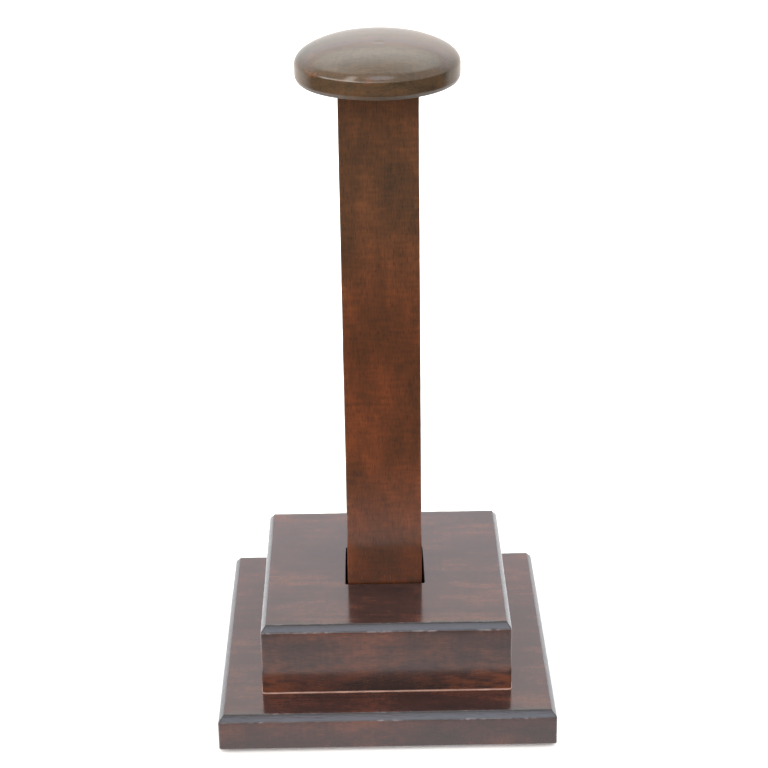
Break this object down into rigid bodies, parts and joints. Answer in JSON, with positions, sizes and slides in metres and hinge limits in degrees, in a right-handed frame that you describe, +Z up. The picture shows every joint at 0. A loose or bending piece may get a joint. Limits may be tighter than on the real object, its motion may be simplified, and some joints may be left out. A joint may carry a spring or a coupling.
{
  "type": "helmet display stand",
  "caption": "Free-standing wooden display stand: a square post with a turned mushroom cap, loose in a mortise in a two-tier square plinth, to carry a helmet, hat or wig.",
  "frame": {"origin": "on the surface it stands on, at the bottom of the felt pads, under the middle of the post", "axes": "+Z up along the post; -Y is the front; X and Y along the plinth's sides"},
  "size_m": [0.2, 0.2, 0.4064],
  "materials": {
    "plate_wood": "dark walnut stain under brushed gloss lacquer, grain left to right",
    "block_wood": "dark walnut stain under brushed gloss lacquer, grain left to right",
    "post_wood": "dark red-brown stain under brushed gloss lacquer, grain upright",
    "cap_wood": "dark walnut stain under thick gloss lacquer, turned",
    "dowel_wood": "plain beech, unfinished",
    "screw_steel": "yellow zinc plated",
    "felt": "pressed charcoal felt"
  },
  "bodies": {
    "plinth": {"base_plate": "plate_wood", "plinth_block": "block_wood", "plinth_screws": "screw_steel", "felt_pad_1": "felt", "felt_pad_2": "felt", "felt_pad_3": "felt", "felt_pad_4": "felt"},
    "post_and_cap": {"post": "post_wood", "cap": "cap_wood", "cap_dowel": "dowel_wood"}
  },
  "joints": [
    {"name": "post_lift", "type": "slide", "parent": "plinth", "child": "post_and_cap", "axis": [0, 0, 1], "range_m": [0, 0.06]}
  ]
}
